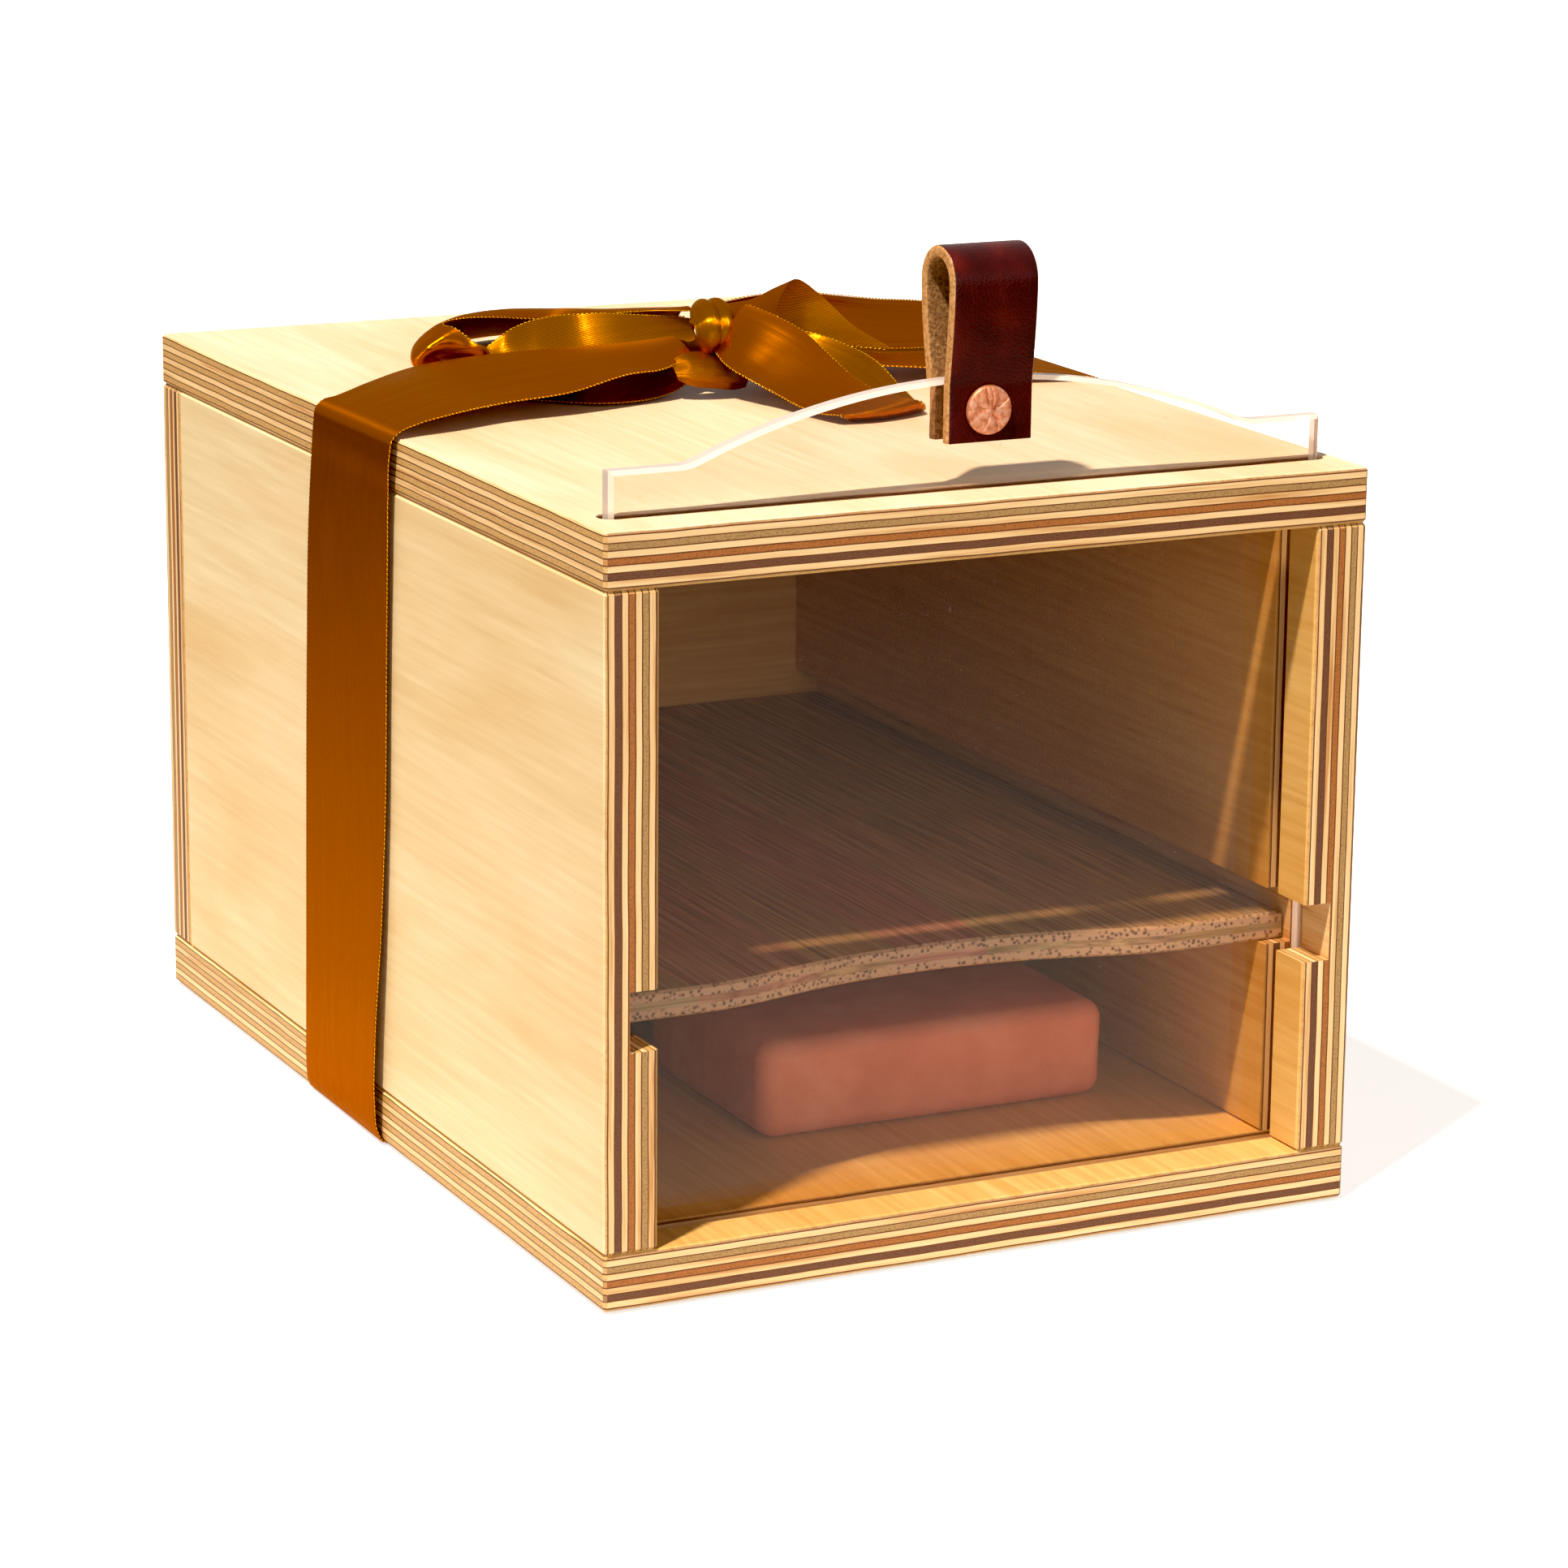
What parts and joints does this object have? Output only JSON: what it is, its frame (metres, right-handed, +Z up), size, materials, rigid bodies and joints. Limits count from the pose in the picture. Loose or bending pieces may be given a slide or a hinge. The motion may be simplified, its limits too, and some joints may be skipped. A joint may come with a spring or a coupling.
{
  "type": "cheese storage box",
  "caption": "Plywood storage box with a clear front panel that lifts out of a slot by a leather loop, a bamboo shelf on dados, a clay brick below and a satin ribbon tied round it in a bow.",
  "frame": {"origin": "under the middle of the box, on the surface that it stands on", "axes": "+Z up, -Y out of the clear front, +Y to the back board, +X to the right seen from the front"},
  "size_m": [0.1766, 0.26, 0.2113],
  "materials": {
    "birch_plywood": "sanded nine-layer birch plywood, bare edges showing light and dark plies",
    "beech_dowel": "turned and chamfered, glued in",
    "bamboo": "three-layer cross-laminated bamboo board, sanded",
    "clear_acrylic": "clear cast sheet, sawn and polished edges",
    "bridle_leather": "waxed oxblood grain side, tan cut edges, rough flesh side inside the loop",
    "copper": "solid copper, hammered head",
    "terracotta": "unglazed fired clay with rubbed round edges",
    "satin_ribbon": "bronze gold satin face, twill back, picot selvedge"
  },
  "bodies": {
    "box": {"back_panel": "birch_plywood", "bottom_panel": "birch_plywood", "bow_knot": "satin_ribbon", "bow_loop_left": "satin_ribbon", "bow_loop_right": "satin_ribbon", "bow_tail_back": "satin_ribbon", "bow_tail_up": "satin_ribbon", "dowel_back_left_lower": "beech_dowel", "dowel_back_left_upper": "beech_dowel", "dowel_back_right_lower": "beech_dowel", "dowel_back_right_upper": "beech_dowel", "dowel_bottom_back_left": "beech_dowel", "dowel_bottom_back_right": "beech_dowel", "dowel_bottom_left_front": "beech_dowel", "dowel_bottom_left_middle": "beech_dowel", "dowel_bottom_left_rear": "beech_dowel", "dowel_bottom_right_front": "beech_dowel", "dowel_bottom_right_middle": "beech_dowel", "dowel_bottom_right_rear": "beech_dowel", "dowel_top_back_left": "beech_dowel", "dowel_top_back_right": "beech_dowel", "dowel_top_left_front": "beech_dowel", "dowel_top_left_middle": "beech_dowel", "dowel_top_left_rear": "beech_dowel", "dowel_top_right_front": "beech_dowel", "dowel_top_right_middle": "beech_dowel", "dowel_top_right_rear": "beech_dowel", "left_side": "birch_plywood", "ribbon_crossing": "satin_ribbon", "ribbon_lid_left": "satin_ribbon", "ribbon_lid_right": "satin_ribbon", "ribbon_side_left": "satin_ribbon", "ribbon_side_right": "satin_ribbon", "ribbon_under": "satin_ribbon", "right_side": "birch_plywood", "top_panel": "birch_plywood"},
    "front": {"front_panel": "clear_acrylic", "leather_pull": "bridle_leather", "rivet_head": "copper", "rivet_post": "copper"},
    "shelf": {"shelf": "bamboo"},
    "brick": {"humidity_brick": "terracotta"}
  },
  "joints": [
    {"name": "panel_lift", "type": "slide", "parent": "box", "child": "front", "axis": [0, 0, 1], "range_m": [0, 0.185]},
    {"name": "shelf_slide", "type": "slide", "parent": "box", "child": "shelf", "axis": [0, -1, 0], "range_m": [0, 0.0035]},
    {"name": "brick_slide", "type": "slide", "parent": "box", "child": "brick", "axis": [0, -1, 0], "range_m": [-0.13, 0.034]}
  ]
}
